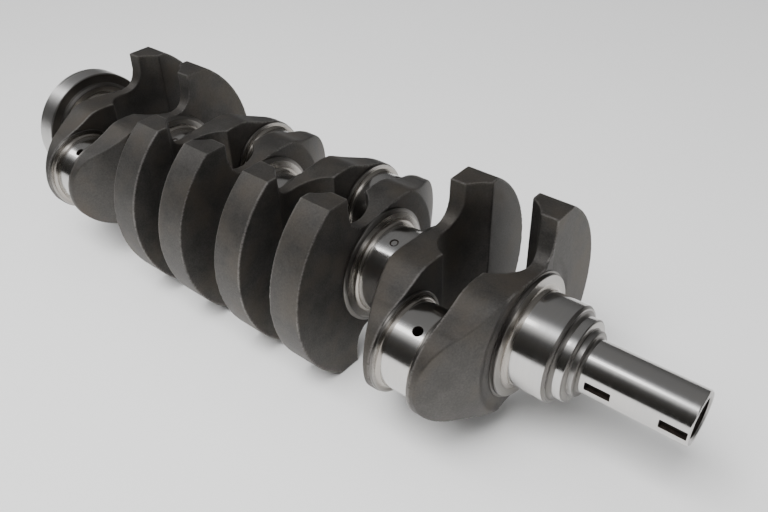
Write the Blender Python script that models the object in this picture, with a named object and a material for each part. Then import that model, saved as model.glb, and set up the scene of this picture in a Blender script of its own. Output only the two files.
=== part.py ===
"""Crankshaft for a two-litre in-line four: snout, five mains, four crankpins, eight webs, flange.

Metres. +X runs along the crank axis towards the snout, +Z is up, and crankpins 1 and 4 point to -Y.
The shaft stands on the flat ends of its counterweights, at Z = 0.
"""
import math

import bmesh
import bpy

# Driving dimensions, along the shaft. Stations are measured from the front end of main journal 1.
BORE_PITCH = 0.0985
PIN_1_X = -0.0614
PIN_GAP = 0.0246
WEB_T = 0.0215
WEB_1_PAD = 0.0016
SNOUT_TIP_X = 0.0682
SNOUT_START_X = 0.0112
STEP_X = (0.0075, 0.0109)
SEAT_X = (0.0003, 0.0072)
FLANGE_X = (-0.4312, -0.4151)
JOINT_GAP = 0.0003

# Driving dimensions, across the shaft
THROW = 0.0440
MAIN_R = 0.0275
PIN_R = 0.0250
MAIN_RING_R = 0.0356
PIN_RING_R = 0.0287
RING_T = 0.0015
FILLET_R = 0.0026
SEAT_R = 0.0230
STEP_R = 0.0182
SNOUT_R = 0.01475
SNOUT_BORE_R = 0.0109
SNOUT_BORE_DEPTH = 0.042
KEY_X = (0.01540, 0.05380)
KEY_L = 0.0135
KEY_W = 0.0049
KEY_DEPTH = 0.0030
FLANGE_R = 0.0430
PILOT_R = 0.0110
PILOT_DEPTH = 0.0120
BOLT_COUNT = 8
BOLT_R = 0.0043
BOLT_PCR = 0.0330
BOLT_DEPTH = 0.0130
OIL_R = 0.0026
OIL_DEPTH = 0.0160

# Web outline: s points from the main axis to the crankpin, z is across
WEIGHT_R = 0.0720
EAR_Z = 0.0595
PIN_END_R = 0.0296
EAR_S_OUTER_WEBS = -0.0235
EAR_S_INNER_WEBS = -0.0262
EAR_FLANK = ((0.0003, 0.0530), (0.0008, 0.0465), (0.0032, 0.0405), (0.0085, 0.0362), (0.0160, 0.0353))
SHOULDER = ((0.0000, 0.0364), (0.0120, 0.0380), (0.0208, 0.0384), (0.0266, 0.0381), (0.0312, 0.0368),
            (0.0370, 0.0341), (0.0420, 0.0320))
PIN_END_ARC = 76.0
CONE_START_R = 0.0475
CONE_SLOPE = 0.67
SCALLOP_S = (-0.0340, 0.0110)
SCALLOP_R = 0.0251

# Facets round a full circle
JOURNAL_SEG = 40
HOLE_SEG = 16
ARC_STEP = 6.0

OFFSET_X = -(SNOUT_TIP_X + FLANGE_X[0]) / 2.0
REACH = 0.095


def clear_scene():
    for obj in list(bpy.data.objects):
        bpy.data.objects.remove(obj, do_unlink=True)


def steel(name, colour, roughness, metallic):
    mat = bpy.data.materials.new(name)
    mat.use_nodes = True
    shader = mat.node_tree.nodes["Principled BSDF"]
    shader.inputs["Base Color"].default_value = (*colour, 1.0)
    shader.inputs["Roughness"].default_value = roughness
    shader.inputs["Metallic"].default_value = metallic
    mat.diffuse_color = (*colour, 1.0)
    return mat


def ground_steel(name):
    return steel(name + "_steel", (0.62, 0.61, 0.60), 0.22, 1.0)


def blasted_steel(name):
    return steel(name + "_forging", (0.095, 0.090, 0.086), 0.55, 0.85)


def add_object(name, bm):
    bmesh.ops.recalc_face_normals(bm, faces=bm.faces)
    mesh = bpy.data.meshes.new(name)
    bm.to_mesh(mesh)
    bm.free()
    obj = bpy.data.objects.new(name, mesh)
    bpy.context.scene.collection.objects.link(obj)
    return obj


def finish(obj, material):
    obj.data.materials.clear()
    obj.data.materials.append(material)
    obj.data.shade_smooth()
    obj.data.set_sharp_from_angle(angle=math.radians(30.0))
    return obj


def revolve(name, profile, y=0.0):
    """Closed solid of revolution about a line parallel to X. The profile is a loop of (x, radius)
    points; a radius of zero is a point on the axis."""
    bm = bmesh.new()
    rings = []
    for x, radius in profile:
        if radius == 0.0:
            rings.append([bm.verts.new((x + OFFSET_X, y, EAR_Z))])
            continue
        ring = []
        for i in range(JOURNAL_SEG):
            a = 2.0 * math.pi * i / JOURNAL_SEG
            ring.append(bm.verts.new((x + OFFSET_X, y + radius * math.cos(a), EAR_Z + radius * math.sin(a))))
        rings.append(ring)
    for near, far in zip(rings, rings[1:] + rings[:1]):
        for i in range(JOURNAL_SEG):
            j = (i + 1) % JOURNAL_SEG
            if len(near) == 1 and len(far) == 1:
                break
            if len(near) == 1:
                bm.faces.new((near[0], far[i], far[j]))
            elif len(far) == 1:
                bm.faces.new((near[i], near[j], far[0]))
            else:
                bm.faces.new((near[i], near[j], far[j], far[i]))
    return add_object(name, bm)


def prism(name, loop):
    """Closed prism from two matching loops of points, each a list of (x, y, z)."""
    bm = bmesh.new()
    low = [bm.verts.new(p) for p, _ in loop]
    high = [bm.verts.new(p) for _, p in loop]
    bm.faces.new(low)
    bm.faces.new(high)
    for i in range(len(loop)):
        j = (i + 1) % len(loop)
        bm.faces.new((low[i], low[j], high[j], high[i]))
    return add_object(name, bm)


def cut(target, cutters):
    """Takes the cutters out of the target and removes them."""
    for tool in cutters:
        tool.hide_render = True
        tool.display_type = "WIRE"
        modifier = target.modifiers.new("cut", "BOOLEAN")
        modifier.operation = "DIFFERENCE"
        modifier.solver = "EXACT"
        modifier.object = tool
    bpy.context.view_layer.update()
    graph = bpy.context.evaluated_depsgraph_get()
    result = bpy.data.meshes.new_from_object(target.evaluated_get(graph))
    target.modifiers.clear()
    old = target.data
    target.data = result
    bpy.data.meshes.remove(old)
    for tool in cutters:
        bpy.data.objects.remove(tool, do_unlink=True)
    result.name = target.name
    return target


def drill(start, direction, radius, depth):
    """Round cutter that runs from start, along a direction, for a depth."""
    dx, dy, dz = direction
    length = math.sqrt(dx * dx + dy * dy + dz * dz)
    axis = (dx / length, dy / length, dz / length)
    if abs(axis[0]) > 0.9:
        side = (0.0, 1.0, 0.0)
    else:
        side = (1.0, 0.0, 0.0)
    up = (axis[1] * side[2] - axis[2] * side[1],
          axis[2] * side[0] - axis[0] * side[2],
          axis[0] * side[1] - axis[1] * side[0])
    loop = []
    for i in range(HOLE_SEG):
        a = 2.0 * math.pi * i / HOLE_SEG
        c, s = radius * math.cos(a), radius * math.sin(a)
        rim = [start[k] + side[k] * c + up[k] * s for k in range(3)]
        loop.append((tuple(rim), tuple(rim[k] + axis[k] * depth for k in range(3))))
    return prism("drill", loop)


def web_outline(ear_s):
    """Anchor-shaped outline of a web as (s, z) points, from one weight tip round to the other.
    s is the distance from the shaft's axis, positive towards the crankpin."""
    upper = [(ear_s, EAR_Z)]
    upper += [(ear_s + ds, z) for ds, z in EAR_FLANK]
    upper += list(SHOULDER)
    arc = []
    steps = int(2 * PIN_END_ARC / ARC_STEP)
    for i in range(steps + 1):
        a = math.radians(PIN_END_ARC - 2.0 * PIN_END_ARC * i / steps)
        arc.append((THROW + PIN_END_R * math.cos(a), PIN_END_R * math.sin(a)))
    lower = [(s, -z) for s, z in reversed(upper)]
    tip = math.degrees(math.asin(EAR_Z / WEIGHT_R))
    steps = int(2 * tip / ARC_STEP)
    weight = []
    for i in range(steps + 1):
        a = math.radians(180.0 + tip - 2.0 * tip * i / steps)
        weight.append((WEIGHT_R * math.cos(a), WEIGHT_R * math.sin(a)))
    return upper + arc + lower + weight


def across(name, side, points):
    """Cutter with a constant (x, s) section, running right across the web along Z."""
    loop = []
    for x, s in points:
        loop.append(((x + OFFSET_X, side * s, EAR_Z - REACH), (x + OFFSET_X, side * s, EAR_Z + REACH)))
    return prism(name, loop)


def half_ring(name, side, profile):
    """Cutter turned about the main axis through the half where s is positive. The profile is a loop
    of (x, radius) points."""
    steps = int(180.0 / ARC_STEP)
    bm = bmesh.new()
    rings = []
    for i in range(steps + 1):
        a = math.radians(-90.0 + 180.0 * i / steps)
        ring = []
        for x, r in profile:
            ring.append(bm.verts.new((x + OFFSET_X, side * r * math.cos(a), EAR_Z + r * math.sin(a))))
        rings.append(ring)
    count = len(profile)
    for i in range(steps):
        for k in range(count):
            j = (k + 1) % count
            bm.faces.new((rings[i][k], rings[i][j], rings[i + 1][j], rings[i + 1][k]))
    bm.faces.new(rings[0])
    bm.faces.new(rings[-1])
    return add_object(name, bm)


def build_web(number):
    """Web between a main journal and a crankpin, with its counterweight. Odd webs are ahead of
    their crankpin, even ones behind it."""
    pin = (number - 1) // 2
    ahead = number % 2 == 1
    side = -1.0 if pin in (0, 3) else 1.0
    face = 1.0 if ahead else -1.0
    pin_face = PIN_1_X - BORE_PITCH * pin + face * PIN_GAP / 2.0
    main_face = pin_face + face * WEB_T
    pad = WEB_1_PAD if number == 1 else 0.0
    pad_face = main_face + face * pad
    ear_s = EAR_S_OUTER_WEBS if pin in (0, 3) else EAR_S_INNER_WEBS
    loop = []
    for s, z in web_outline(ear_s):
        y, height = side * s, EAR_Z + z
        loop.append(((pin_face + OFFSET_X, y, height), (pad_face + OFFSET_X, y, height)))
    web = prism("web_%d" % number, loop)

    deep = main_face - face * CONE_SLOPE * (REACH - CONE_START_R)
    clear = pad_face + face * 0.02
    start_r = CONE_START_R - pad / CONE_SLOPE
    cutters = [half_ring("cone", side, [(pad_face, start_r), (deep, REACH), (clear, REACH),
                                        (clear, start_r)])]
    if number == 1:
        cutters.append(across("pad_relief", side, [(pad_face, -0.014), (main_face, -0.024),
                                                   (main_face, -REACH), (clear, -REACH), (clear, -0.014)]))
    half = (SCALLOP_S[1] - SCALLOP_S[0]) / 2.0
    middle = (SCALLOP_S[1] + SCALLOP_S[0]) / 2.0
    rise = math.sqrt(SCALLOP_R ** 2 - half ** 2)
    sweep = math.asin(half / SCALLOP_R)
    groove = []
    for i in range(13):
        a = -sweep + 2.0 * sweep * i / 12
        groove.append((pin_face + face * (SCALLOP_R * math.cos(a) - rise), middle + SCALLOP_R * math.sin(a)))
    groove.append((pin_face - face * 0.01, SCALLOP_S[1]))
    groove.append((pin_face - face * 0.01, SCALLOP_S[0]))
    cutters.append(across("scallop", side, groove))
    cut(web, cutters)
    return finish(web, blasted_steel(web.name))


def journal(name, back, front, radius, ring_back, ring_front, y=0.0, nose=0.0):
    """Ground journal from back to front. Each ring is (radius, thickness) or None."""
    points = [(back, 0.0)]
    if ring_back:
        points += ring_points(back, 1.0, radius, ring_back)
    else:
        points.append((back, radius))
    if ring_front:
        points += list(reversed(ring_points(front, -1.0, radius, ring_front)))
    else:
        points += [(front - nose, radius), (front, radius - nose)]
    points.append((front, 0.0))
    return revolve(name, points, y)


def ring_points(end, way, radius, ring):
    ring_r, ring_t = ring
    wall = end + way * ring_t
    points = [(end, ring_r), (wall, ring_r)]
    for degrees in (0.0, 45.0, 90.0):
        a = math.radians(degrees)
        points.append((wall + way * FILLET_R * (1.0 - math.cos(a)), radius + FILLET_R * (1.0 - math.sin(a))))
    return points


def oil_hole(x, y, radius, lean):
    """Cutter for the oil hole that opens on a journal, leaning from straight up towards -Y."""
    a = math.radians(lean)
    out = (0.0, -math.sin(a), math.cos(a))
    top = radius + 0.004
    start = (x + OFFSET_X, y + out[1] * top, EAR_Z + out[2] * top)
    return drill(start, (0.0, -out[1], -out[2]), OIL_R, 0.004 + OIL_DEPTH)


def build_mains():
    web_1_face = PIN_1_X + PIN_GAP / 2.0 + WEB_T + WEB_1_PAD
    ring = (MAIN_RING_R, RING_T - JOINT_GAP)
    thick_ring = (MAIN_RING_R, RING_T + 0.0018)
    for number in range(1, 6):
        middle = PIN_1_X + BORE_PITCH * (1.5 - number)
        reach = (BORE_PITCH - PIN_GAP) / 2.0 - WEB_T - JOINT_GAP
        name = "main_journal_%d" % number
        if number == 1:
            obj = journal(name, web_1_face + JOINT_GAP, 0.0, MAIN_R, thick_ring, None, nose=0.0016)
            middle = -0.0115
        elif number == 5:
            obj = journal(name, FLANGE_X[1] + JOINT_GAP, middle + reach, MAIN_R, ring, ring)
        else:
            obj = journal(name, middle - reach, middle + reach, MAIN_R, ring, ring)
        if number > 1:
            cut(obj, [oil_hole(middle, 0.0, MAIN_R, 15.0)])
        finish(obj, ground_steel(name))


def build_crankpins():
    ring = (PIN_RING_R, RING_T - JOINT_GAP)
    reach = PIN_GAP / 2.0 - JOINT_GAP
    for number in range(1, 5):
        middle = PIN_1_X - BORE_PITCH * (number - 1)
        y = -THROW if number in (1, 4) else THROW
        lean = 23.0 if number in (1, 4) else -23.0
        name = "crankpin_%d" % number
        obj = journal(name, middle - reach, middle + reach, PIN_R, ring, ring, y=y)
        cut(obj, [oil_hole(middle + 0.0037, y, PIN_R, lean)])
        finish(obj, ground_steel(name))


def build_front():
    back, front = SEAT_X
    seat = revolve("nose_seat", [(back, 0.0), (back, SEAT_R), (front - 0.0005, SEAT_R),
                                 (front, SEAT_R - 0.0005), (front, STEP_R + 0.0006),
                                 (front - 0.0002, STEP_R + 0.0004), (front - 0.0002, 0.0)])
    finish(seat, ground_steel("nose_seat"))

    back, front = STEP_X
    step = revolve("snout_step", [(back, 0.0), (back, STEP_R), (front - 0.0004, STEP_R),
                                  (front, STEP_R - 0.0004), (front, 0.0)])
    finish(step, ground_steel("snout_step"))

    tip = SNOUT_TIP_X
    floor = tip - SNOUT_BORE_DEPTH
    snout = revolve("snout", [(SNOUT_START_X, 0.0), (SNOUT_START_X, SNOUT_R), (tip - 0.0008, SNOUT_R),
                              (tip, SNOUT_R - 0.0008), (tip, SNOUT_BORE_R + 0.0006),
                              (tip - 0.0012, SNOUT_BORE_R), (floor, SNOUT_BORE_R),
                              (floor - 0.0035, 0.0)])
    cutters = []
    outer = -SNOUT_R - 0.002
    inner = -SNOUT_R + KEY_DEPTH
    for start in KEY_X:
        section = [(start, outer), (start + KEY_L, outer), (start + KEY_L, inner), (start, inner)]
        loop = []
        for x, y in section:
            loop.append(((x + OFFSET_X, y, EAR_Z - KEY_W / 2.0), (x + OFFSET_X, y, EAR_Z + KEY_W / 2.0)))
        cutters.append(prism("keyway", loop))
    cut(snout, cutters)
    finish(snout, ground_steel("snout"))


def build_flange():
    back, front = FLANGE_X
    bevel = 0.0010
    flange = revolve("rear_flange", [(back + PILOT_DEPTH, 0.0), (back + PILOT_DEPTH, PILOT_R),
                                     (back + bevel, PILOT_R), (back, PILOT_R + bevel),
                                     (back, FLANGE_R - bevel), (back + bevel, FLANGE_R),
                                     (front - bevel, FLANGE_R), (front, FLANGE_R - bevel), (front, 0.0)])
    cutters = []
    for i in range(BOLT_COUNT):
        a = 2.0 * math.pi * (i + 0.5) / BOLT_COUNT
        start = (back + OFFSET_X - 0.004, BOLT_PCR * math.cos(a), EAR_Z + BOLT_PCR * math.sin(a))
        cutters.append(drill(start, (1.0, 0.0, 0.0), BOLT_R, 0.004 + BOLT_DEPTH))
    cut(flange, cutters)
    finish(flange, ground_steel("rear_flange"))


clear_scene()
build_front()
build_mains()
build_crankpins()
for web_number in range(1, 9):
    build_web(web_number)
build_flange()
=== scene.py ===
"""Looks for the crankshaft: finely shaped webs, journals, snout and flange around the CAD frame."""
import math

import bmesh
import bpy
import numpy as np
from mathutils import Matrix, Vector


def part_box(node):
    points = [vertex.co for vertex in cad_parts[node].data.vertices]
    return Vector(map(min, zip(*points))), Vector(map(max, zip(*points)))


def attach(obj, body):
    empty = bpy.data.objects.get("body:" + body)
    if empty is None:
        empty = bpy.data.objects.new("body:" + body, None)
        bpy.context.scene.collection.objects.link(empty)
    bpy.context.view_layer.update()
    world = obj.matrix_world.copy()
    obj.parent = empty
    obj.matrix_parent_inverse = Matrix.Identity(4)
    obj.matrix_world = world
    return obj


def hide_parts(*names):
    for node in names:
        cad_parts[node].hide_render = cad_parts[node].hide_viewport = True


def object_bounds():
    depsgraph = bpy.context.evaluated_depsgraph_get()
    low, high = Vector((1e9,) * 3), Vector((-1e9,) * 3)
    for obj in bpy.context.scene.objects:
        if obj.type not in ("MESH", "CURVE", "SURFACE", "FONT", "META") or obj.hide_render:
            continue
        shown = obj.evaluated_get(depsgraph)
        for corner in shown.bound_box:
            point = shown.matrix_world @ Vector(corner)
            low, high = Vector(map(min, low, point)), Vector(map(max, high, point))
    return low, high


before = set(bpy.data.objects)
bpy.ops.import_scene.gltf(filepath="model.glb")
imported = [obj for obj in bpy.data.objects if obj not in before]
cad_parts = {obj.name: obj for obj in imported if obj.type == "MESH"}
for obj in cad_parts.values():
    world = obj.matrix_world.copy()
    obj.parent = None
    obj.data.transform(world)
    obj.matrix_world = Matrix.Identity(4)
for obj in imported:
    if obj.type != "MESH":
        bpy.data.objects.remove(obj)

cad_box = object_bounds()
MM = 0.001

# ---------------------------------------------------------------- places, read from the CAD nodes
snout_lo, snout_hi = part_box("snout")
AXIS_Z = (snout_lo[2] + snout_hi[2]) / 2.0
# The gap between neighbouring CAD nodes, which the pieces here close
GAP = 0.3 * MM


def span(node):
    lo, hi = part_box(node)
    return lo[0], hi[0]


def middle_y(node):
    lo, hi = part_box(node)
    return (lo[1] + hi[1]) / 2.0


# ---------------------------------------------------------------- materials
def new_material(name):
    mat = bpy.data.materials.new(name)
    mat.use_nodes = True
    return mat, mat.node_tree.nodes, mat.node_tree.links, mat.node_tree.nodes["Principled BSDF"]


def noise(nodes, links, scale, coords, detail=3.0, roughness=0.55, stretch=(1.0, 1.0, 1.0)):
    mapping = nodes.new("ShaderNodeMapping")
    mapping.inputs["Scale"].default_value = stretch
    links.new(coords.outputs["Object"], mapping.inputs["Vector"])
    tex = nodes.new("ShaderNodeTexNoise")
    tex.inputs["Scale"].default_value = scale
    tex.inputs["Detail"].default_value = detail
    tex.inputs["Roughness"].default_value = roughness
    links.new(mapping.outputs["Vector"], tex.inputs["Vector"])
    return tex.outputs["Fac"]


def ramp(nodes, links, value, stops):
    node = nodes.new("ShaderNodeValToRGB")
    node.color_ramp.elements[0].position = stops[0][0]
    node.color_ramp.elements[0].color = (*stops[0][1], 1.0)
    node.color_ramp.elements[1].position = stops[-1][0]
    node.color_ramp.elements[1].color = (*stops[-1][1], 1.0)
    for place, colour in stops[1:-1]:
        node.color_ramp.elements.new(place).color = (*colour, 1.0)
    links.new(value, node.inputs["Fac"])
    return node.outputs["Color"]


def remap(nodes, links, value, low, high, from_low=0.3, from_high=0.7):
    node = nodes.new("ShaderNodeMapRange")
    node.inputs["From Min"].default_value = from_low
    node.inputs["From Max"].default_value = from_high
    node.inputs["To Min"].default_value = low
    node.inputs["To Max"].default_value = high
    links.new(value, node.inputs["Value"])
    return node.outputs["Result"]


def mix(nodes, links, fac, a, b, blend="MIX"):
    node = nodes.new("ShaderNodeMix")
    node.data_type = "RGBA"
    node.blend_type = blend
    for socket, value in ((node.inputs[0], fac), (node.inputs[6], a), (node.inputs[7], b)):
        if hasattr(value, "node"):
            links.new(value, socket)
        elif isinstance(value, tuple):
            socket.default_value = (*value, 1.0)
        else:
            socket.default_value = value
    return node.outputs[2]


def bump(nodes, links, height, strength, distance, below=None):
    node = nodes.new("ShaderNodeBump")
    node.inputs["Strength"].default_value = strength
    node.inputs["Distance"].default_value = distance
    links.new(height, node.inputs["Height"])
    if below is not None:
        links.new(below, node.inputs["Normal"])
    return node.outputs["Normal"]


def ground_steel(name, tint, rough, line_strength=0.25):
    """Ground and polished steel. The grinding lines run round the shaft, so they change along X."""
    mat, nodes, links, shader = new_material(name)
    coords = nodes.new("ShaderNodeTexCoord")
    lines = noise(nodes, links, 1.0, coords, detail=4.0, roughness=0.7, stretch=(5200.0, 26.0, 26.0))
    bands = noise(nodes, links, 1.0, coords, detail=2.0, stretch=(420.0, 9.0, 9.0))
    cloud = noise(nodes, links, 55.0, coords, detail=4.0)
    dark = tuple(0.86 * c for c in tint)
    warm = (tint[0], tint[1] * 0.975, tint[2] * 0.935)
    colour = ramp(nodes, links, lines, [(0.32, dark), (0.62, tint)])
    colour = mix(nodes, links, remap(nodes, links, cloud, 0.0, 0.55), colour, warm)
    links.new(colour, shader.inputs["Base Color"])
    shader.inputs["Metallic"].default_value = 1.0
    smear = remap(nodes, links, bands, rough * 0.85, rough * 1.25)
    links.new(smear, shader.inputs["Roughness"])
    links.new(bump(nodes, links, lines, line_strength, 0.00002), shader.inputs["Normal"])
    return mat


def blasted_steel(name, dark, light, rough):
    """Fine shot-blasted forging: mottled, matt, with edges worn a little brighter."""
    mat, nodes, links, shader = new_material(name)
    coords = nodes.new("ShaderNodeTexCoord")
    blotch = noise(nodes, links, 75.0, coords, detail=5.0, roughness=0.6)
    speckle = noise(nodes, links, 900.0, coords, detail=3.0, roughness=0.7)
    grain = noise(nodes, links, 2600.0, coords, detail=2.0, roughness=0.6)
    colour = ramp(nodes, links, blotch, [(0.30, dark), (0.72, light)])
    flecks = ramp(nodes, links, speckle, [(0.30, (0.80, 0.80, 0.80)), (0.72, (1.2, 1.19, 1.18))])
    colour = mix(nodes, links, 1.0, colour, flecks, "MULTIPLY")
    stain = noise(nodes, links, 38.0, coords, detail=3.0)
    brown = remap(nodes, links, stain, 0.0, 0.6, 0.45, 0.72)
    colour = mix(nodes, links, brown, colour, (0.130, 0.110, 0.088))
    worn = nodes.new("ShaderNodeAttribute")
    worn.attribute_name = "worn"
    rub = nodes.new("ShaderNodeMath")
    rub.operation = "MULTIPLY"
    links.new(worn.outputs["Fac"], rub.inputs[0])
    links.new(remap(nodes, links, speckle, 0.2, 0.9), rub.inputs[1])
    colour = mix(nodes, links, rub.outputs[0], colour, (0.30, 0.285, 0.27))
    links.new(colour, shader.inputs["Base Color"])
    shader.inputs["Metallic"].default_value = 0.9
    links.new(remap(nodes, links, blotch, rough * 0.93, rough * 1.08), shader.inputs["Roughness"])
    first = bump(nodes, links, speckle, 0.22, 0.0003)
    links.new(bump(nodes, links, grain, 0.22, 0.0001, first), shader.inputs["Normal"])
    return mat


def painted_shade_in_holes(name):
    """Near-black steel inside holes, bores and key slots, as painted shade."""
    mat, nodes, links, shader = new_material(name)
    coords = nodes.new("ShaderNodeTexCoord")
    # The noise only varies the painted shade at random
    stain = noise(nodes, links, 600.0, coords, detail=3.0)
    colour = ramp(nodes, links, stain, [(0.3, (0.012, 0.010, 0.009)), (0.7, (0.035, 0.027, 0.022))])
    links.new(colour, shader.inputs["Base Color"])
    shader.inputs["Metallic"].default_value = 0.4
    links.new(remap(nodes, links, stain, 0.42, 0.6), shader.inputs["Roughness"])
    links.new(bump(nodes, links, stain, 0.2, 0.0001), shader.inputs["Normal"])
    return mat


POLISHED = ground_steel("ground_steel", (0.60, 0.592, 0.583), 0.15)
FILLET = ground_steel("ground_fillet", (0.40, 0.375, 0.345), 0.24, 0.15)
TURNED = ground_steel("turned_face", (0.36, 0.352, 0.345), 0.30, 0.3)
# Ground steel darkened as painted shade, for thrust-ring sides, chamfers, small fillets, the step and
# the flange's face towards the last web
SHADE_PAINTED_STEEL = ground_steel("ring_side", (0.17, 0.162, 0.153), 0.34, 0.3)
RIM = ground_steel("flange_rim", (0.56, 0.553, 0.546), 0.30, 0.3)
RING_TOP = ground_steel("ring_top", (0.40, 0.385, 0.365), 0.27, 0.3)
BLASTED = blasted_steel("blasted_forging", (0.082, 0.078, 0.074), (0.122, 0.117, 0.111), 0.58)
# Near-black steel that paints the shade inside holes, bores and key slots
SHADE_IN_HOLES = painted_shade_in_holes("holes_painted_shade")

# The turned pieces share this list, and a profile names the material of each band by its place in it
STEELS = [POLISHED, FILLET, TURNED, SHADE_IN_HOLES, SHADE_PAINTED_STEEL, RING_TOP, RIM]
# Of these bands, the fourth paints the shade inside holes and bores with near-black steel, and the fifth
# paints shade on ring sides, chamfers and steps with darkened steel
GROUND, CURVE, FACE, HOLE_SHADE, PAINTED_SHADE, LIP, EDGE = range(len(STEELS))
SHARP_ANGLE = math.radians(32.0)


# ---------------------------------------------------------------- webs, shaped by a distance field
# Millimetres. Along the shaft, t runs from the web's face at its crankpin. Across it, s runs from the
# main axis towards the crankpin, and z is up.
WEB_T = 21.5
WEB_1_PAD = 1.6
EAR_S = -23.5
INNER_EAR_S = -26.2
INNER_WEBS = (3, 4, 5, 6)
WEIGHT_R = 72.0
EAR_Z = 59.5
THROW = 44.0
PIN_END_R = 29.6
EAR_FLANK = ((0.0, 59.5), (0.3, 53.0), (0.8, 46.5), (3.2, 40.5), (8.5, 36.2), (16.0, 35.3))
SHOULDER = ((0.0, 36.4), (12.0, 38.0), (20.8, 38.4), (26.6, 38.1), (31.2, 36.8), (37.0, 34.1),
            (42.0, 32.0))
# The pin end is turned down to a cone about the main axis
CONE_R = 47.5
CONE_SLOPE = 0.67
# A round hollow along z in the pin's face, between the pin and the counterweight
GROOVE_S = -11.5
GROOVE_R = 25.1
GROOVE_HALF = 22.5
# A shallow dish round the front main journal
DISH_R = 37.0
DISH_WIDTH = 8.0
DISH_DEPTH = 0.5
EDGE_R = 0.55
CONE_EDGE_R = 0.3
GROOVE_EDGE_R = 0.7
GRID_STEP = 1.05
GRID_LO = (-2.0, -74.0, -61.5)
GRID_ACROSS = (149.5, 123.0)


def smooth_path(points, per=6):
    """Catmull-Rom curve through the points."""
    pts = [np.array(p, float) for p in points]
    ends = [2 * pts[0] - pts[1]] + pts + [2 * pts[-1] - pts[-2]]
    out = []
    for i in range(1, len(ends) - 2):
        a, b, c, d = ends[i - 1], ends[i], ends[i + 1], ends[i + 2]
        for k in range(per):
            t = k / per
            out.append(0.5 * ((2 * b) + (c - a) * t + (2 * a - 5 * b + 4 * c - d) * t * t
                              + (3 * b - a - 3 * c + d) * t ** 3))
    out.append(pts[-1])
    return out


def outline(ear_s):
    """Closed outline of a web in (s, z): ears, shoulders, the round pin end and the counterweight."""
    upper = smooth_path([(ear_s + ds, z) for ds, z in EAR_FLANK] + list(SHOULDER))
    tip = [(THROW + PIN_END_R * math.cos(a), PIN_END_R * math.sin(a))
           for a in np.radians(np.arange(76.0, -76.1, -3.0))]
    lower = [(s, -z) for s, z in reversed(upper)]
    lean = math.degrees(math.asin(EAR_Z / WEIGHT_R))
    back = [(WEIGHT_R * math.cos(a), WEIGHT_R * math.sin(a))
            for a in np.radians(np.linspace(180.0 + lean, 180.0 - lean, 60))]
    return np.array([tuple(p) for p in upper] + tip + lower + back)


def flat_distance(loop, s, z):
    """Signed distance from points to a closed outline, negative inside."""
    a, b = loop, np.roll(loop, -1, axis=0)
    keep = np.hypot(*(b - a).T) > 1e-6
    a, b = a[keep], b[keep]
    p = np.stack([s.ravel(), z.ravel()], 1)
    best = np.full(len(p), 1e9)
    inside = np.zeros(len(p), bool)
    for (ax, ay), (bx, by) in zip(a, b):
        ex, ey = bx - ax, by - ay
        wx, wy = p[:, 0] - ax, p[:, 1] - ay
        t = np.clip((wx * ex + wy * ey) / (ex * ex + ey * ey), 0.0, 1.0)
        best = np.minimum(best, (wx - ex * t) ** 2 + (wy - ey * t) ** 2)
        cross = (ay > p[:, 1]) != (by > p[:, 1])
        if ey != 0.0:
            inside ^= cross & (p[:, 0] < (p[:, 1] - ay) * ex / ey + ax)
    d = np.sqrt(best)
    return np.where(inside, -d, d).reshape(s.shape)


def both(a, b, r):
    """Intersection of two shapes with the edge between them rounded to radius r."""
    u = np.maximum(a + r, 0.0)
    v = np.maximum(b + r, 0.0)
    return np.minimum(np.maximum(a, b), -r) + np.sqrt(u * u + v * v)


def web_field(t, s, z, plan, pad):
    """Distance to the surface of a web, where plan is the distance to its outline."""
    r = np.hypot(s, z)
    rise = pad * np.clip((s + 24.0) / 10.0, 0.0, 1.0)
    dish = DISH_DEPTH * np.sin(np.pi * np.clip((r - DISH_R) / DISH_WIDTH, 0.0, 1.0)) ** 2 if pad else 0.0
    face = t - WEB_T - rise + dish
    cone = (t - WEB_T + CONE_SLOPE * (r - CONE_R)) / math.sqrt(1.0 + CONE_SLOPE ** 2)
    cone = np.where(s > 0.0, cone, -20.0)
    centre = -math.sqrt(GROOVE_R ** 2 - GROOVE_HALF ** 2)
    groove = GROOVE_R - np.hypot(s - GROOVE_S, t - centre)
    d = both(plan, -t, EDGE_R)
    d = both(d, both(face, cone, CONE_EDGE_R), EDGE_R)
    return both(d, groove, GROOVE_EDGE_R)


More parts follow.
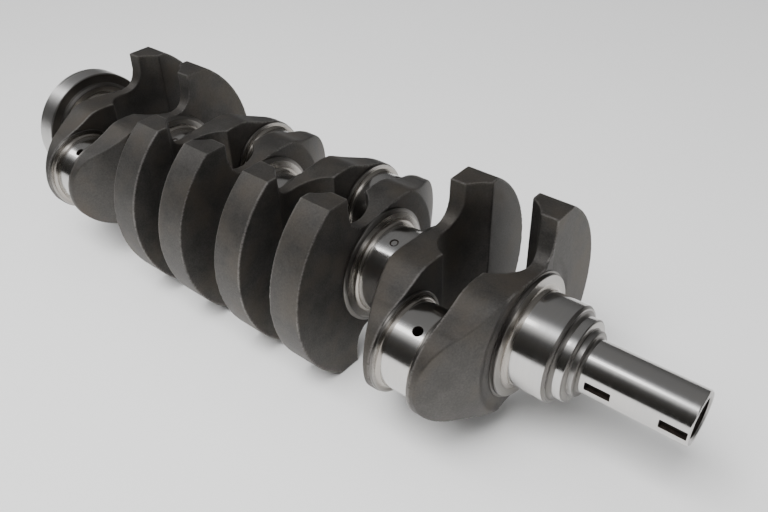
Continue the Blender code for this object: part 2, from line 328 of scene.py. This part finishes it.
def surface_net(values, origin, step):
    """Quads on the zero level of a grid of signed distances."""
    inside = values < 0.0
    nx, ny, nz = values.shape
    total = np.zeros((nx - 1, ny - 1, nz - 1, 3))
    count = np.zeros((nx - 1, ny - 1, nz - 1))
    corner = [(i, j, k) for i in (0, 1) for j in (0, 1) for k in (0, 1)]

    def at(grid, c):
        return grid[c[0]:nx - 1 + c[0], c[1]:ny - 1 + c[1], c[2]:nz - 1 + c[2]]

    for a in corner:
        for axis in range(3):
            if a[axis]:
                continue
            b = tuple(1 if k == axis else a[k] for k in range(3))
            va, vb = at(values, a), at(values, b)
            crosses = at(inside, a) != at(inside, b)
            f = np.where(crosses, va / np.where(crosses, va - vb, 1.0), 0.0)
            for k in range(3):
                total[..., k] += np.where(crosses, a[k] + (f if k == axis else 0.0), 0.0)
            count += crosses
    used = count > 0
    index = np.full(used.shape, -1)
    index[used] = np.arange(used.sum())
    cells = np.argwhere(used)
    verts = (cells + total[used] / count[used][:, None]) * step + origin
    quads = []
    for axis in range(3):
        first = [slice(1, n - 1) for n in (nx, ny, nz)]
        second = list(first)
        first[axis] = slice(0, (nx, ny, nz)[axis] - 1)
        second[axis] = slice(1, (nx, ny, nz)[axis])
        a, b = inside[tuple(first)], inside[tuple(second)]
        here = np.argwhere(a != b)
        out = a[a != b]
        low = here + np.array([0 if k == axis else 1 for k in range(3)])
        u, v = [k for k in range(3) if k != axis]
        ring = []
        for du, dv in ((0, 0), (1, 0), (1, 1), (0, 1)):
            c = low.copy()
            c[:, u] -= 1 - du
            c[:, v] -= 1 - dv
            ring.append(index[c[:, 0], c[:, 1], c[:, 2]])
        quad = np.stack(ring, 1)
        turn = out if axis != 1 else ~out
        quad[~turn] = quad[~turn][:, ::-1]
        quads.append(quad)
    return verts, np.concatenate(quads)


def web_surface(ear_s, pad):
    """Mesh of one web in (t, s, z), with a normal and an amount of edge wear at each point."""
    loop = outline(ear_s)
    lo = np.array(GRID_LO)
    size = np.array([WEB_T + pad + 4.0, *GRID_ACROSS])
    n = np.ceil(size / GRID_STEP).astype(int) + 1
    axes = [lo[k] + GRID_STEP * np.arange(n[k]) for k in range(3)]
    s2, z2 = np.meshgrid(axes[1], axes[2], indexing="ij")
    plan = flat_distance(loop, s2, z2)
    t, s, z = np.meshgrid(*axes, indexing="ij")
    values = web_field(t, s, z, np.broadcast_to(plan, t.shape), pad)
    verts, quads = surface_net(values, lo, GRID_STEP)

    def field(p):
        return web_field(p[:, 0], p[:, 1], p[:, 2], flat_distance(loop, p[:, 1], p[:, 2]), pad)

    # Pull the points onto the exact surface, at most half a millimetre at a time
    h = 0.02
    for _ in range(3):
        d = field(verts)
        grad = np.stack([(field(verts + e) - d) / h for e in h * np.eye(3)], 1)
        grad /= np.maximum(np.sum(grad * grad, 1, keepdims=True), 0.25)
        move = grad * d[:, None]
        length = np.linalg.norm(move, axis=1, keepdims=True)
        verts = verts - move * np.minimum(1.0, 0.5 / np.maximum(length, 1e-9))
    normal = np.stack([field(verts + e) - field(verts - e) for e in h * np.eye(3)], 1)
    normal /= np.linalg.norm(normal, axis=1, keepdims=True)
    # An edge is where the surface turns within a millimetre: there the blast wears brighter
    depth = 0.9
    deep = field(verts - normal * depth)
    worn = np.clip((deep + depth - 0.07) / 0.25, 0.0, 1.0)
    return verts, quads, normal, worn


def smooth_object(name, verts, faces, materials, normals=None, slots=None):
    """Smooth-shaded object in the scene from points and faces."""
    mesh = bpy.data.meshes.new(name)
    mesh.from_pydata([tuple(v) for v in verts], [], [tuple(int(i) for i in f) for f in faces])
    for mat in materials:
        mesh.materials.append(mat)
    if slots is not None:
        mesh.polygons.foreach_set("material_index", slots)
    mesh.shade_smooth()
    if normals is not None:
        mesh.normals_split_custom_set_from_vertices([tuple(n) for n in normals])
    obj = bpy.data.objects.new(name, mesh)
    bpy.context.scene.collection.objects.link(obj)
    return obj


def place_web(number, data):
    """Puts a web where its CAD node is, turned to its crankpin's side."""
    node = "web_%d" % number
    verts, quads, normal, worn = data
    back, front = span(node)
    pin_y = middle_y("crankpin_%d" % ((number + 1) // 2))
    face = 1.0 if number % 2 else -1.0
    side = 1.0 if pin_y > 0.0 else -1.0
    start = back if face > 0.0 else front
    scale = np.array([face, side, 1.0])
    points = np.stack([start + face * verts[:, 0] * MM, side * verts[:, 1] * MM,
                       AXIS_Z + verts[:, 2] * MM], 1)
    # CAD arcs are polygons, so the true circles are held back to the CAD box
    points = np.clip(points, [float(v) for v in cad_box[0]], [float(v) for v in cad_box[1]])
    faces = quads if face * side > 0.0 else quads[:, ::-1]
    obj = smooth_object("web_%d_forging" % number, points, faces, [BLASTED], normal * scale)
    mark = obj.data.attributes.new("worn", "FLOAT", "POINT")
    mark.data.foreach_set("value", worn)
    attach(obj, "root")
    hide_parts(node)


# ---------------------------------------------------------------- turned and ground pieces
# Millimetres
MAIN_R = 27.5
PIN_R = 25.0
SEAT_R = 23.0
STEP_R = 18.2
SNOUT_R = 14.75
SNOUT_BORE_R = 10.9
FLANGE_R = 43.0
PILOT_R = 11.0
MAIN_FILLET = 2.6
FRONT_FILLET = 2.8
PIN_FILLET = 2.3
MAIN_RING = [(0.0, 35.9), (1.3, 35.9), (1.7, 35.5), (2.5, 34.2), (2.8, 33.6), (3.1, 30.3)]
FRONT_RING = [(0.0, 36.6), (0.5, 36.6), (0.7, 35.4), (2.2, 35.4), (2.6, 35.0), (2.9, 30.4)]
PIN_RING = [(0.0, 29.2), (1.1, 29.2), (1.4, 28.9), (1.7, 27.4)]
# How far the rear end of each key slot is from the snout's tip
KEY_STARTS = (52.8, 14.4)
KEY_LENGTH = 13.5
KEY_WIDTH = 4.9
KEY_DEPTH = 3.0
BOLT_COUNT = 8
BOLT_CIRCLE_R = 33.0
BOLT_R = 4.3
# How far oil holes lean from upright, in degrees
MAIN_HOLE_LEAN = 15.0
PIN_HOLE_LEAN = 23.0
# How far a pin's hole is from the pin's middle
PIN_HOLE_SHIFT = 3.7
PIN_HOLE_R = 2.75
# How far above a journal a cutter starts
CUTTER_START = 2.0


def lathe(name, profile, materials, y=0.0, around=144):
    """Closed turned body. The profile is a list of (x, radius, slot) in metres from axis to axis;
    slot is the material of the band that starts there."""
    a = np.linspace(0.0, 2.0 * np.pi, around, endpoint=False)
    verts, rings, faces, slots = [], [], [], []
    for x, r, _ in profile:
        if r <= 0.0:
            rings.append([len(verts)])
            verts.append((x, y, AXIS_Z))
        else:
            rings.append(list(range(len(verts), len(verts) + around)))
            verts += [(x, y + r * math.cos(t), AXIS_Z + r * math.sin(t)) for t in a]
    for (first, second), (_, _, slot) in zip(zip(rings, rings[1:]), profile):
        for i in range(around):
            j = (i + 1) % around
            if len(first) == 1:
                faces.append((first[0], second[j], second[i]))
            elif len(second) == 1:
                faces.append((first[i], first[j], second[0]))
            else:
                faces.append((first[i], first[j], second[j], second[i]))
            slots.append(slot)
    obj = smooth_object(name, verts, faces, materials, slots=slots)
    bm = bmesh.new()
    bm.from_mesh(obj.data)
    bmesh.ops.recalc_face_normals(bm, faces=bm.faces)
    bm.to_mesh(obj.data)
    bm.free()
    obj.data.set_sharp_from_angle(angle=SHARP_ANGLE)
    return obj


def arc(cx, cr, radius, start, end, slot, steps=8):
    """Points on a circle in the (x, radius) plane, angles in degrees from +x towards +radius."""
    out = []
    for i in range(steps + 1):
        t = math.radians(start + (end - start) * i / steps)
        out.append((cx + radius * math.cos(t), cr + radius * math.sin(t), slot))
    return out


def ring_side(wall, way, shaft_r, steps, fillet):
    """Thrust ring and fillet that join a journal to a web face at x = wall. way is +1 if the journal
    lies towards +x. steps are (distance from the wall, radius) points of the ring, in mm."""
    # The ring's outer side and chamfer are painted shade in darkened steel; its face and the fillet keep
    # their own finish
    bands = [PAINTED_SHADE] * (len(steps) - 2) + [LIP, CURVE]
    points = [(wall + way * h * MM, r * MM, band) for (h, r), band in zip(steps, bands)]
    cx = wall + way * (steps[-1][0] + fillet) * MM
    start, end = (180.0, 270.0) if way > 0 else (0.0, -90.0)
    sweep = arc(cx, (shaft_r + fillet) * MM, fillet * MM, start, end, CURVE, 9)
    x, r, _ = sweep[-1]
    return points + sweep[:-1] + [(x, r, GROUND)]



def flip(points):
    """Reverses a run of profile points, keeping each band's material with the band."""
    back = list(reversed(points))
    return [(x, r, back[min(i + 1, len(back) - 1)][2]) for i, (x, r, _) in enumerate(back)]


def cutter(name, profile, place, direction, materials, around=40, surfaces=()):
    """Turned cutter standing along a direction from a place. The profile is (depth, radius) in mm, and
    surfaces gives the place in materials of each band."""
    axis = Vector(direction).normalized()
    side = axis.orthogonal().normalized()
    up = axis.cross(side)
    verts, faces = [], []
    turns = [2 * math.pi * i / around for i in range(around)]
    for depth, r in profile:
        centre = Vector(place) + axis * (depth * MM)
        verts += [tuple(centre + side * (r * MM * math.cos(a)) + up * (r * MM * math.sin(a)))
                  for a in turns]
    for k in range(len(profile) - 1):
        for i in range(around):
            j = (i + 1) % around
            faces.append((k * around + i, k * around + j, (k + 1) * around + j, (k + 1) * around + i))
    faces.append(tuple(range(around)))
    faces.append(tuple(range((len(profile) - 1) * around, len(profile) * around)))
    obj = smooth_object(name, verts, faces, materials)
    bm = bmesh.new()
    bm.from_mesh(obj.data)
    bm.faces.ensure_lookup_table()
    for k, surface in enumerate(surfaces):
        for i in range(around):
            bm.faces[k * around + i].material_index = surface
    if surfaces:
        bm.faces[-1].material_index = surfaces[-1]
    bmesh.ops.recalc_face_normals(bm, faces=bm.faces)
    bm.to_mesh(obj.data)
    bm.free()
    return obj


def cut(target, tools):
    """Cuts the tools out of a piece, with their materials on the new faces, and removes them."""
    for tool in tools:
        mod = target.modifiers.new("cut", "BOOLEAN")
        mod.object = tool
        mod.operation = "DIFFERENCE"
        mod.solver = "EXACT"
        mod.material_mode = "TRANSFER"
    depsgraph = bpy.context.evaluated_depsgraph_get()
    mesh = bpy.data.meshes.new_from_object(target.evaluated_get(depsgraph))
    target.modifiers.clear()
    target.data = mesh
    for tool in tools:
        bpy.data.objects.remove(tool, do_unlink=True)
    target.data.shade_smooth()
    target.data.set_sharp_from_angle(angle=SHARP_ANGLE)
    even = target.modifiers.new("even_normals", "WEIGHTED_NORMAL")
    even.keep_sharp = True


def above(x, y, radius, lean):
    """Start and direction of a hole into a journal, leaning from upright by an angle in degrees."""
    a = math.radians(lean)
    out = Vector((0.0, -math.sin(a), math.cos(a)))
    return Vector((x, y, AXIS_Z)) + out * ((radius + CUTTER_START) * MM), -out


def oil_hole(x, y, lean):
    """Cutter for a pin's oil hole: a drilled bore with a rounded mouth."""
    r = PIN_HOLE_R
    profile = [(0.0, r + 1.9), (1.3, r + 0.75), (2.1, r + 0.2), (2.8, r), (16.0, r)]
    # The drilled walls take the near-black steel that paints the shade in holes
    return cutter("drill", profile, *above(x, y, PIN_R, lean), [SHADE_IN_HOLES])


def plugged_hole(x):
    """Cutter that leaves a round plug of light steel in a main journal, with a dark line round it: a
    real groove whose walls carry the near-black painted shade of the holes.
    """
    profile = [(0.0, 2.75), (2.1, 2.7), (2.6, 2.45), (2.9, 2.4), (2.9, 1.95), (2.35, 1.75), (2.25, 1.2)]
    line, plug = 0, 1
    surfaces = [line] * 4 + [plug] * 2
    start, way = above(x, 0.0, MAIN_R, MAIN_HOLE_LEAN)
    return cutter("plug", profile, start, way, [SHADE_IN_HOLES, POLISHED], surfaces=surfaces)


def finish_piece(obj, node):
    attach(obj, "root")
    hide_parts(node)


def both_sides(lo, hi, shaft_r, ring, fillet):
    """Profile of a journal with the same ring and fillet at each end."""
    left = [(lo, 0.0, CURVE)] + ring_side(lo, 1.0, shaft_r, ring, fillet)
    right = flip(ring_side(hi, -1.0, shaft_r, ring, fillet)) + [(hi, 0.0, CURVE)]
    return left + right


def build_journals():
    lo, hi = span("main_journal_1")
    lo -= GAP
    profile = [(lo, 0.0, CURVE)] + ring_side(lo, 1.0, MAIN_R, FRONT_RING, FRONT_FILLET)
    # The last millimetre and a half at the journal's front end, with its chamfer, is painted shade in
    # darkened steel
    for back, r, band in ((1.5, MAIN_R, PAINTED_SHADE), (1.2, 27.35, PAINTED_SHADE), (0.2, 26.5, PAINTED_SHADE), (0.0, 26.2, FACE),
                          (0.0, 0.0, FACE)):
        profile.append((hi - back * MM, r * MM, band))
    finish_piece(lathe("main_1_ground", profile, STEELS), "main_journal_1")

    for number in range(2, 6):
        node = "main_journal_%d" % number
        lo, hi = span(node)
        lo, hi = lo - GAP, hi + GAP
        profile = both_sides(lo, hi, MAIN_R, MAIN_RING, MAIN_FILLET)
        obj = lathe("main_%d_ground" % number, profile, STEELS)
        cut(obj, [plugged_hole((lo + hi) / 2.0)])
        finish_piece(obj, node)

    for number in range(1, 5):
        node = "crankpin_%d" % number
        lo, hi = span(node)
        lo, hi = lo - GAP, hi + GAP
        y = middle_y(node)
        profile = both_sides(lo, hi, PIN_R, PIN_RING, PIN_FILLET)
        obj = lathe("pin_%d_ground" % number, profile, STEELS, y=y)
        lean = PIN_HOLE_LEAN if y < 0.0 else -PIN_HOLE_LEAN
        cut(obj, [oil_hole((lo + hi) / 2.0 + PIN_HOLE_SHIFT * MM, y, lean)])
        finish_piece(obj, node)


def build_seat():
    lo, hi = span("nose_seat")
    lo -= GAP
    profile = [(lo, 0.0, FACE), (lo, 25.6 * MM, FACE)]
    # The fillet behind the seat and the chamfer at its front are painted shade in darkened steel
    profile += arc(lo + 2.3 * MM, (SEAT_R + 2.3) * MM, 2.3 * MM, 180.0, 270.0, PAINTED_SHADE, 7)
    profile.append((lo + 2.4 * MM, SEAT_R * MM, GROUND))
    for back, r, band in ((0.8, SEAT_R, GROUND), (0.6, SEAT_R - 0.1, PAINTED_SHADE), (0.1, SEAT_R - 0.6, PAINTED_SHADE),
                          (0.0, SEAT_R - 0.9, LIP), (0.0, 0.0, LIP)):
        profile.append((hi - back * MM, r * MM, band))
    finish_piece(lathe("nose_seat_ground", profile, STEELS), "nose_seat")


def build_step():
    lo, hi = span("snout_step")
    lo -= GAP
    # The step's rear edge, front chamfer and front face are painted shade in darkened steel
    profile = [(lo, 0.0, FACE), (lo, (STEP_R + 0.6) * MM, PAINTED_SHADE), (lo + 0.5 * MM, STEP_R * MM, FACE)]
    for back, r, band in ((0.6, STEP_R, PAINTED_SHADE), (0.1, STEP_R - 0.5, PAINTED_SHADE), (0.0, STEP_R - 0.8, PAINTED_SHADE),
                          (0.0, 0.0, PAINTED_SHADE)):
        profile.append((hi - back * MM, r * MM, band))
    finish_piece(lathe("snout_step_turned", profile, STEELS), "snout_step")


def build_snout():
    lo, hi = span("snout")
    lo -= GAP
    r, bore = SNOUT_R, SNOUT_BORE_R
    fillet = 1.4
    profile = [(lo, 0.0, CURVE), (lo, (r + fillet) * MM, CURVE)]
    # The fillet at the snout's root is painted shade in darkened steel
    profile += arc(lo + fillet * MM, (r + fillet) * MM, fillet * MM, 185.0, 270.0, PAINTED_SHADE, 6)
    profile.append((lo + 1.6 * MM, r * MM, GROUND))
    # Inside the bore, with its thread, the steel is near-black as painted shade
    for back, radius, band in ((0.9, r, GROUND), (0.5, r - 0.2, GROUND), (0.1, r - 0.6, GROUND),
                               (0.0, r - 0.8, FACE), (0.0, bore + 0.9, FACE), (0.9, bore, HOLE_SHADE)):
        profile.append((hi - back * MM, radius * MM, band))

    # Thread in the bore, as rings
    pitch, groove, first, last = 1.5, 0.55, 0.9, 32.0
    x = hi - first * MM
    while x > hi - last * MM:
        for back, deep in ((0.15, 0.0), (0.75, groove), (0.90, groove), (pitch, 0.0)):
            profile.append((x - back * MM, (bore + deep) * MM, HOLE_SHADE))
        x -= pitch * MM
    profile += [(hi - 42.0 * MM, bore * MM, HOLE_SHADE), (hi - 45.0 * MM, 0.0, HOLE_SHADE)]
    obj = lathe("snout_ground", profile, STEELS)
    cut(obj, [key_cutter(hi - start * MM) for start in KEY_STARTS])
    finish_piece(obj, "snout")


def key_cutter(x):
    """Cutter for a key slot that faces -Y, with small corner radii and a slightly broken rim."""
    bm = bmesh.new()
    sections = []
    r, half_length, half_width, corner = SNOUT_R, KEY_LENGTH / 2.0, KEY_WIDTH / 2.0, 0.4
    for y, grow in ((-r - 1.0, 0.15), (-r + 0.1, 0.15), (-r + 0.3, 0.0), (-r + KEY_DEPTH, 0.0)):
        ring = []
        for sx, sz, first in ((1, 1, 0), (-1, 1, 90), (-1, -1, 180), (1, -1, 270)):
            for k in range(4):
                t = math.radians(first + 30.0 * k)
                px = half_length + sx * (half_length + grow - corner) + corner * math.cos(t)
                pz = sz * (half_width + grow - corner) + corner * math.sin(t)
                ring.append(bm.verts.new((x + px * MM, y * MM, AXIS_Z + pz * MM)))
        sections.append(ring)
    for a, b in zip(sections, sections[1:]):
        for i in range(len(a)):
            j = (i + 1) % len(a)
            bm.faces.new((a[i], a[j], b[j], b[i]))
    bm.faces.new(sections[0])
    bm.faces.new(sections[-1])
    bmesh.ops.recalc_face_normals(bm, faces=bm.faces)
    mesh = bpy.data.meshes.new("key")
    bm.to_mesh(mesh)
    bm.free()
    # The slot's cut faces take the near-black steel that paints the shade in holes
    mesh.materials.append(SHADE_IN_HOLES)
    obj = bpy.data.objects.new("key", mesh)
    bpy.context.scene.collection.objects.link(obj)
    return obj


def bolt_steps():
    """Profile of a threaded bolt hole, as (depth, radius): mouth, thread as rings, and plain end."""
    r, pitch, depth, end = BOLT_R, 1.25, 1.6, 12.0
    steps = [(0.0, r + 1.6), (1.0, r + 0.6), (depth, r)]
    while depth < end:
        steps += [(depth + 0.4, r + 0.4), (depth + 0.55, r + 0.4), (depth + 1.1, r), (depth + pitch, r)]
        depth += pitch
    return steps + [(14.0, r)]


def build_flange():
    lo, hi = span("rear_flange")
    r = FLANGE_R
    profile = []
    # The pilot bore is near-black steel as painted shade
    for ahead, radius, band in ((12.0, 0.0, HOLE_SHADE), (12.0, PILOT_R, HOLE_SHADE), (1.0, PILOT_R, FACE),
                                (0.0, PILOT_R + 1.0, FACE), (0.0, r - 1.4, FACE), (0.4, r - 0.4, FACE),
                                (1.0, r, EDGE)):
        profile.append((lo + ahead * MM, radius * MM, band))
    # Inside its edge chamfer, the face towards the last web is painted shade in darkened steel
    for back, radius, band in ((1.0, r, FACE), (0.4, r - 0.2, FACE), (0.0, r - 0.9, PAINTED_SHADE),
                               (0.0, r - 6.6, PAINTED_SHADE)):
        profile.append((hi - back * MM, radius * MM, band))
    profile += [(hi + GAP, (r - 7.0) * MM, PAINTED_SHADE), (hi + GAP, 0.0, PAINTED_SHADE)]
    obj = lathe("rear_flange_turned", profile, STEELS)
    tools = []
    for i in range(BOLT_COUNT):
        a = 2.0 * math.pi * (i + 0.5) / BOLT_COUNT
        y, z = BOLT_CIRCLE_R * MM * math.cos(a), BOLT_CIRCLE_R * MM * math.sin(a)
        start = (lo - 1.0 * MM, y, AXIS_Z + z)
        tools.append(cutter("bolt", bolt_steps(), start, (1.0, 0.0, 0.0), [TURNED], around=28))
    cut(obj, tools)
    finish_piece(obj, "rear_flange")


def build_webs():
    made = {}
    for number in range(1, 9):
        kind = (INNER_EAR_S if number in INNER_WEBS else EAR_S, WEB_1_PAD if number == 1 else 0.0)
        if kind not in made:
            made[kind] = web_surface(*kind)
        place_web(number, made[kind])


build_webs()
build_journals()
build_seat()
build_step()
build_snout()
build_flange()


# ---------------------------------------------------------------- floor, light and camera
FLOOR_SIZE = 6.0


def build_floor():
    mesh = bpy.data.meshes.new("floor")
    bm = bmesh.new()
    bmesh.ops.create_grid(bm, x_segments=2, y_segments=2, size=FLOOR_SIZE)
    bm.to_mesh(mesh)
    bm.free()
    mat, nodes, links, shader = new_material("pale_floor")
    coords = nodes.new("ShaderNodeTexCoord")
    drift = noise(nodes, links, 2.2, coords, detail=2.0)
    colour = ramp(nodes, links, drift, [(0.3, (0.79, 0.79, 0.787)), (0.7, (0.815, 0.815, 0.81))])
    links.new(colour, shader.inputs["Base Color"])
    shader.inputs["Roughness"].default_value = 0.55
    shader.inputs["Specular IOR Level"].default_value = 0.3
    mesh.materials.append(mat)
    floor = bpy.data.objects.new("floor", mesh)
    floor.location = (0.0, 0.0, cad_box[0][2] - 0.0001)
    bpy.context.scene.collection.objects.link(floor)


# Brightness of the room by angle in degrees, from in front of the shaft, over the top, to behind it
WARM, PLAIN, COOL = (1.04, 1.0, 0.93), (1.0, 1.0, 1.0), (0.985, 0.995, 1.02)
SKY_PEAK = 2.4
SKY = ((0, 0.030, WARM), (9, 0.028, WARM), (21, 0.040, WARM), (33, 0.060, WARM), (45, 0.095, PLAIN),
       (52, 0.30, PLAIN), (57, 0.60, PLAIN), (63, 1.2, PLAIN), (68, 2.1, COOL), (74, 2.0, COOL),
       (80, 1.1, COOL), (86, 0.45, COOL), (92, 0.25, COOL), (99, 0.225, PLAIN), (140, 0.21, PLAIN),
       (180, 0.11, PLAIN))


def build_world():
    """Room light: a grey ceiling with a bright panel, and a darker side in front of the shaft. Past the
    floor the camera sees a pale backdrop."""
    world = bpy.data.worlds.new("studio")
    bpy.context.scene.world = world
    world.use_nodes = True
    nodes, links = world.node_tree.nodes, world.node_tree.links
    background = nodes["Background"]
    coords = nodes.new("ShaderNodeTexCoord")
    parts = nodes.new("ShaderNodeSeparateXYZ")
    links.new(coords.outputs["Generated"], parts.inputs[0])
    angle = nodes.new("ShaderNodeMath")
    angle.operation = "ARCTAN2"
    minus = nodes.new("ShaderNodeMath")
    minus.operation = "MULTIPLY"
    minus.inputs[1].default_value = -1.0
    links.new(parts.outputs["Y"], minus.inputs[0])
    links.new(parts.outputs["Z"], angle.inputs[0])
    links.new(minus.outputs[0], angle.inputs[1])
    level = nodes.new("ShaderNodeMapRange")
    level.inputs["From Min"].default_value = 0.0
    level.inputs["From Max"].default_value = math.pi
    links.new(angle.outputs[0], level.inputs["Value"])
    stops = [(turn / 180.0, tuple(c * light / SKY_PEAK for c in tint)) for turn, light, tint in SKY]
    shade = ramp(nodes, links, level.outputs["Result"], stops)
    links.new(shade, background.inputs["Color"])
    background.inputs["Strength"].default_value = SKY_PEAK
    backdrop = nodes.new("ShaderNodeBackground")
    backdrop.inputs["Color"].default_value = (0.50, 0.50, 0.50, 1.0)
    seen = nodes.new("ShaderNodeLightPath")
    either = nodes.new("ShaderNodeMixShader")
    links.new(seen.outputs["Is Camera Ray"], either.inputs[0])
    links.new(background.outputs[0], either.inputs[1])
    links.new(backdrop.outputs[0], either.inputs[2])
    links.new(either.outputs[0], nodes["World Output"].inputs["Surface"])


def build_lights():
    """One softbox that shows in the steel, and two fills that don't show in gloss."""
    def softbox(name, place, aim, size, power, glossy=True):
        data = bpy.data.lights.new(name, "AREA")
        data.shape = "RECTANGLE"
        data.size, data.size_y = size
        data.energy = power
        lamp = bpy.data.objects.new(name, data)
        lamp.visible_glossy = glossy
        lamp.location = place
        back = (Vector(place) - Vector(aim)).normalized()
        along = Vector((1.0, 0.0, 0.0))
        across = back.cross(along).normalized()
        along = across.cross(back)
        lamp.rotation_euler = Matrix((along, across, back)).transposed().to_euler()
        bpy.context.scene.collection.objects.link(lamp)

    softbox("long_softbox", (-1.55, -0.80, 2.45), (0.0, 0.0, 0.05), (3.0, 0.50), 11.0)
    softbox("ceiling_fill", (-0.3, 0.1, 2.6), (-0.1, 0.0, 0.0), (3.2, 3.2), 32.0, glossy=False)
    softbox("front_fill", (0.10, -0.75, 1.35), (0.05, -0.3, 0.0), (0.9, 0.9), 34.0, glossy=False)


def build_camera():
    """The view that a perspective solve of the shaft's own dimensions gave."""
    turn, tilt, roll = math.radians(-40.975), math.radians(36.978), math.radians(-1.95)
    distance = 0.46167
    aim = Vector((0.0568, 0.0, AXIS_Z + 0.0065))
    ahead = Vector((math.sin(turn) * math.cos(tilt), math.cos(turn) * math.cos(tilt), -math.sin(tilt)))
    level = Vector((math.cos(turn), -math.sin(turn), 0.0))
    upright = level.cross(ahead)
    right = level * math.cos(roll) + upright * math.sin(roll)
    up = upright * math.cos(roll) - level * math.sin(roll)
    data = bpy.data.cameras.new("camera")
    data.sensor_width = 36.0
    data.lens = 36.55
    data.clip_start = 0.01
    data.clip_end = 50.0
    camera = bpy.data.objects.new("camera", data)
    matrix = Matrix((right, up, -ahead)).transposed().to_4x4()
    matrix.translation = aim - ahead * distance
    camera.matrix_world = matrix
    bpy.context.scene.collection.objects.link(camera)
    bpy.context.scene.camera = camera


build_floor()
build_world()
build_lights()
build_camera()
